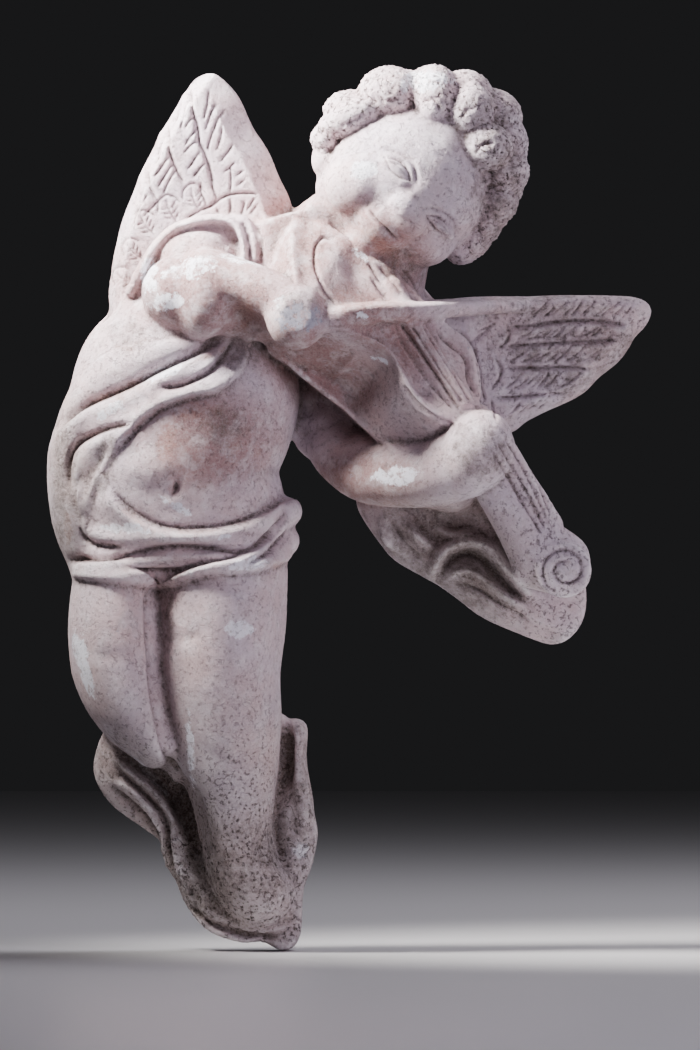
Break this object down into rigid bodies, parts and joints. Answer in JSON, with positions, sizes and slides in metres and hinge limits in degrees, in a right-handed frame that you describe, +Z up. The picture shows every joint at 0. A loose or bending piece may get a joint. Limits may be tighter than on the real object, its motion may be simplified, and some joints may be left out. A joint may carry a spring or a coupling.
{
  "type": "angel musician wall figurine",
  "caption": "Winged child in high relief playing a violin, with draped cloth, cast in one piece with a flat back to hang on a wall.",
  "frame": {"origin": "the hanging point on the flat back, above the balance point of the figure", "axes": "+X to the viewer's right, +Y from the figure into the wall, +Z up as the figure hangs"},
  "size_m": [0.2023, 0.0698, 0.2965],
  "materials": {
    "plaster": null
  },
  "bodies": {
    "root": {"violin_angel": "plaster"}
  },
  "joints": []
}
